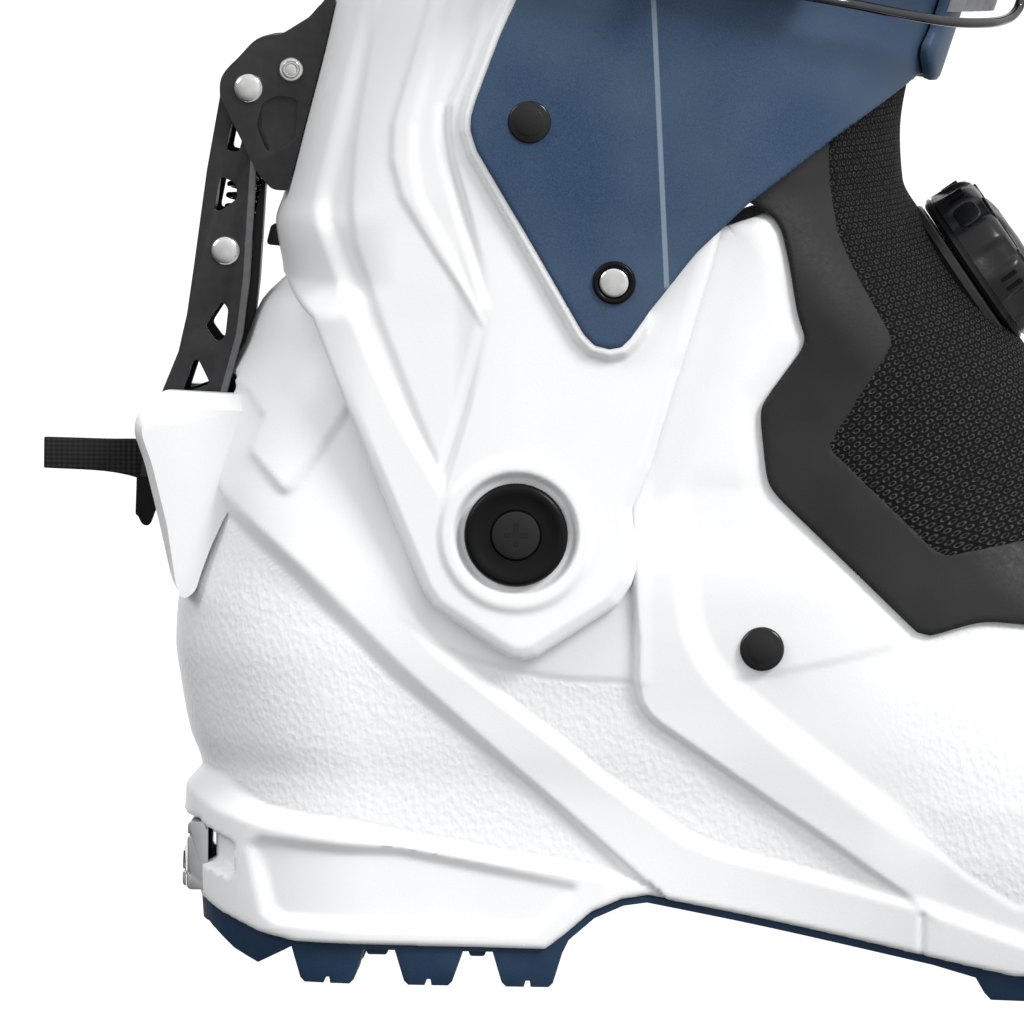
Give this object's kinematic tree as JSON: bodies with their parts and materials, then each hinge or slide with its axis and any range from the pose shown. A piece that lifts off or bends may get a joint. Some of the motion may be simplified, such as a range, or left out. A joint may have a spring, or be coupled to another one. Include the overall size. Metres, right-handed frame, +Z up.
{
  "type": "alpine touring ski boot",
  "caption": "Alpine touring ski boot with hinged cuff, heel walk lever, stretch gaiter, twist lace dial, wire-bail buckle and lugged rubber sole.",
  "frame": {"origin": "centre of the bottom face of the heel's middle lug, on the ground", "axes": "+X to the toe, +Y to the inner (medial) side of this right boot, +Z up"},
  "size_m": [0.2963, 0.1315, 0.308],
  "materials": {
    "white_shell": "satin, grained panels",
    "blue_wing": "matte with fine speckle",
    "navy_rubber": "matte",
    "gaiter_knit": "knit with a film border",
    "liner_foam": "lined foam",
    "board_plastic": "moulded",
    "black_plastic": "semi-gloss",
    "black_anodised": "black anodised",
    "steel": "polished",
    "chrome": "bright",
    "webbing": "ribbed webbing"
  },
  "bodies": {
    "lower": {"lower_shell": "white_shell", "outsole": "navy_rubber", "heel_tech_insert": "chrome", "toe_tech_insert": "steel", "boot_board": "board_plastic", "liner_lower": "liner_foam", "gaiter": "gaiter_knit", "dial_base": "black_plastic", "lace_cable": "steel", "lock_plate": "steel", "shell_rivet_lateral": "black_plastic", "shell_rivet_medial": "black_plastic", "pivot_tnut_lateral": "steel", "pivot_tnut_medial": "steel"},
    "cuff": {"cuff_shell": "white_shell", "wing_lateral": "blue_wing", "wing_medial": "blue_wing", "front_flap": "blue_wing", "liner_cuff": "liner_foam", "liner_loop": "webbing", "power_strap": "webbing", "lever_bracket": "black_anodised", "lever_pin": "steel", "cuff_bumper": "black_plastic", "buckle_base": "black_anodised", "buckle_pin": "steel", "rack": "black_plastic", "pivot_bush_lateral": "board_plastic", "pivot_bush_medial": "board_plastic", "pivot_washer_lateral": "black_plastic", "pivot_washer_medial": "black_plastic", "pivot_screw_lateral": "black_plastic", "pivot_screw_medial": "black_plastic", "rivet_upper_lateral": "black_plastic", "rivet_upper_medial": "black_plastic", "rivet_lower_lateral": "steel", "rivet_lower_medial": "steel", "bracket_screw_lateral": "steel", "bracket_screw_medial": "steel"},
    "walk_lever": {"walk_lever": "black_anodised", "lever_bar": "steel", "lever_rivet": "steel", "lever_spring": "steel", "pull_strap": "webbing"},
    "dial": {"dial_knob": "black_plastic", "dial_cap": "black_plastic"},
    "buckle_lever": {"buckle_lever": "black_anodised"},
    "wire_bail": {"wire_bail": "chrome"}
  },
  "joints": [
    {"name": "ankle_hinge", "type": "hinge", "parent": "lower", "child": "cuff", "pos_m": [0.0175, 0, 0.0945], "axis": [0, 1, 0], "range_deg": [-12, 14], "deforming": ["gaiter"]},
    {"name": "walk_lever_swing", "type": "hinge", "parent": "cuff", "child": "walk_lever", "pos_m": [-0.0403, 0, 0.1842], "axis": [0, 1, 0], "range_deg": [0, 25]},
    {"name": "dial_turn", "type": "hinge", "parent": "lower", "child": "dial", "pos_m": [0.1087, 0, 0.1471], "axis": [0.8197, 0, 0.5728], "continuous": true},
    {"name": "buckle_open", "type": "hinge", "parent": "cuff", "child": "buckle_lever", "pos_m": [0.0765, -0.0595, 0.212], "axis": [0.2588, 0, 0.9659], "range_deg": [0, 110]},
    {"name": "bail_swing", "type": "hinge", "parent": "buckle_lever", "child": "wire_bail", "pos_m": [0.06588, -0.0599, 0.21485], "axis": [0.2588, 0, 0.9659], "range_deg": [-110, 0]}
  ],
  "couplings": [
    {"joint": "bail_swing", "follows": "buckle_open", "ratio": -1}
  ]
}
